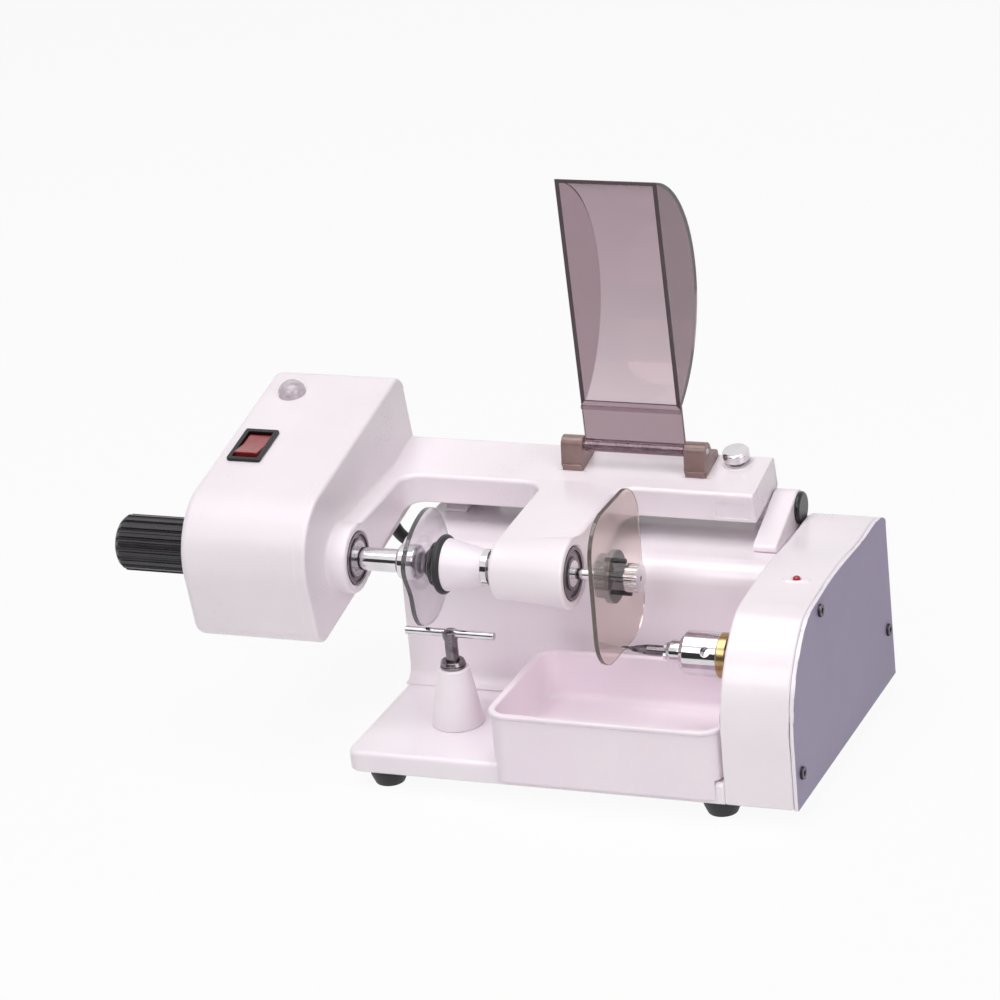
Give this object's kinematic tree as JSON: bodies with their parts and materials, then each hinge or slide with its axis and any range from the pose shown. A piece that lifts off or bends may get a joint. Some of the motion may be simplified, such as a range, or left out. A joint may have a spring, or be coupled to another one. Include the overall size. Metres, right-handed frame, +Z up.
{
  "type": "optical lens edger",
  "caption": "Bench lens edger: a hinged carriage turns a lens and a pattern blank over a stylus and a cutter, with drip tray and tinted splash guard.",
  "frame": {"origin": "middle of the base plate, on the surface that the feet stand on", "axes": "+X to the viewer's right along the spindle line, +Y away from the viewer, +Z up"},
  "size_m": [0.3351, 0.1541, 0.2545],
  "materials": {
    "white_enamel": "gloss enamel",
    "plate_enamel": "gloss enamel",
    "tray_plastic": "gloss moulding",
    "cone_plastic": "gloss turned plastic",
    "side_plate_violet": "gloss",
    "black_rubber": "matt",
    "black_plastic": "satin moulding",
    "chrome": "polished",
    "steel": "machined",
    "dark_screws": "black oxide",
    "brass": "turned",
    "guard_tint": "tinted clear plastic",
    "blank_tint": "clear yellow plastic",
    "lens_clear": "clear plastic",
    "red_plastic": "gloss"
  },
  "bodies": {
    "base": {"base_plate": "plate_enamel", "rubber_feet": "black_rubber", "foot_screws": "steel", "motor_housing": "white_enamel", "side_plate": "side_plate_violet", "side_plate_screws": "dark_screws", "status_light": "red_plastic", "rear_cover": "white_enamel", "hinge_shaft": "steel", "hinge_bracket_left": "white_enamel", "hinge_bracket_right": "white_enamel", "hinge_end_caps": "black_plastic", "cutter_quill": "steel", "quill_bearings": "steel", "drive_belt": "black_rubber", "cutter_motor": "steel", "power_transformer": "steel", "power_inlet": "black_plastic", "carriage_cable": "black_rubber", "cable_gland": "black_rubber", "stylus_post": "white_enamel"},
    "cutter": {"cutter_bit": "steel", "cutter_chuck": "chrome", "brass_collar": "brass", "cutter_spindle": "steel", "spindle_pulley": "steel"},
    "motor_rotor": {"motor_shaft": "steel", "motor_pulley": "steel"},
    "stylus": {"stylus_stem": "steel", "stylus_bar": "chrome"},
    "stylus_nut": {"stylus_lock_nut": "steel"},
    "tray": {"drip_tray": "tray_plastic"},
    "carriage": {"carriage_frame": "white_enamel", "hinge_bushes": "brass", "gearbox_cover": "white_enamel", "spindle_bearings": "steel", "gear_motor": "steel", "carriage_lamp": "lens_clear", "switch_bezel": "black_plastic", "guard_brackets": "guard_tint", "guard_bracket_screws": "steel", "guard_pin": "steel"},
    "sleeve": {"drive_sleeve": "steel", "spindle_gear": "steel"},
    "pinion": {"drive_pinion": "steel"},
    "clamp": {"clamp_shaft": "chrome", "pressure_hub": "chrome", "pressure_pad": "lens_clear"},
    "knob": {"clamp_knob": "black_plastic"},
    "lens_line": {"lens_spindle": "chrome", "lens_cone": "cone_plastic", "lens_cup": "lens_clear", "lens_ring": "black_rubber", "demo_lens": "lens_clear", "pattern_hub": "black_plastic", "pattern_blank": "blank_tint"},
    "pattern_nut": {"pattern_screw": "chrome"},
    "guard": {"splash_guard": "guard_tint"},
    "rocker": {"power_rocker": "red_plastic"},
    "button": {"release_button": "chrome"}
  },
  "joints": [
    {"name": "carriage_hinge", "type": "hinge", "parent": "base", "child": "carriage", "pos_m": [0, 0.0583, 0.0939], "axis": [-1, 0, 0], "range_deg": [0, 30]},
    {"name": "spindle_turn", "type": "hinge", "parent": "carriage", "child": "lens_line", "pos_m": [0, -0.03054, 0.09342], "axis": [1, 0, 0], "continuous": true},
    {"name": "sleeve_turn", "type": "hinge", "parent": "carriage", "child": "sleeve", "pos_m": [0, -0.03054, 0.09342], "axis": [1, 0, 0], "continuous": true},
    {"name": "pinion_turn", "type": "hinge", "parent": "carriage", "child": "pinion", "pos_m": [-0.16, -0.0068, 0.10826], "axis": [1, 0, 0], "continuous": true},
    {"name": "knob_turn", "type": "hinge", "parent": "sleeve", "child": "knob", "pos_m": [0, -0.03054, 0.09342], "axis": [1, 0, 0], "range_deg": [0, 1080]},
    {"name": "clamp_slide", "type": "slide", "parent": "sleeve", "child": "clamp", "axis": [-1, 0, 0], "range_m": [0, 0.012]},
    {"name": "pattern_nut_turn", "type": "hinge", "parent": "lens_line", "child": "pattern_nut", "pos_m": [0, -0.03054, 0.09342], "axis": [1, 0, 0], "range_deg": [0, 360]},
    {"name": "guard_hinge", "type": "hinge", "parent": "carriage", "child": "guard", "pos_m": [-0.026, 0.04546, 0.12399], "axis": [1, 0, 0], "range_deg": [0, 92]},
    {"name": "rocker_tilt", "type": "hinge", "parent": "carriage", "child": "rocker", "pos_m": [-0.1656, -0.01107, 0.13457], "axis": [1, 0, 0], "range_deg": [0, 16]},
    {"name": "button_press", "type": "slide", "parent": "carriage", "child": "button", "axis": [0, 0.2079, -0.9781], "range_m": [0, 0.0018], "stiffness_N_per_m": 300, "springref_m": -0.0008},
    {"name": "cutter_spin", "type": "hinge", "parent": "base", "child": "cutter", "pos_m": [0.0154, -0.0352, 0.0614], "axis": [1, 0, 0], "continuous": true},
    {"name": "motor_spin", "type": "hinge", "parent": "base", "child": "motor_rotor", "pos_m": [0.0728, 0.0335, 0.046], "axis": [1, 0, 0], "continuous": true},
    {"name": "stylus_slide", "type": "slide", "parent": "base", "child": "stylus", "axis": [0, 0, -1], "range_m": [0, 0.008]},
    {"name": "lock_nut_turn", "type": "hinge", "parent": "base", "child": "stylus_nut", "pos_m": [-0.0664, -0.0352, 0.0455], "axis": [0, 0, 1], "range_deg": [0, 180]},
    {"name": "tray_slide", "type": "slide", "parent": "base", "child": "tray", "axis": [0, -1, 0], "range_m": [0, 0.07]}
  ],
  "couplings": [
    {"joint": "sleeve_turn", "follows": "spindle_turn", "ratio": 1},
    {"joint": "pinion_turn", "follows": "spindle_turn", "ratio": -2.5},
    {"joint": "knob_turn", "follows": "clamp_slide", "rad_per_m": 1570.6},
    {"joint": "motor_spin", "follows": "cutter_spin", "ratio": 0.8}
  ]
}
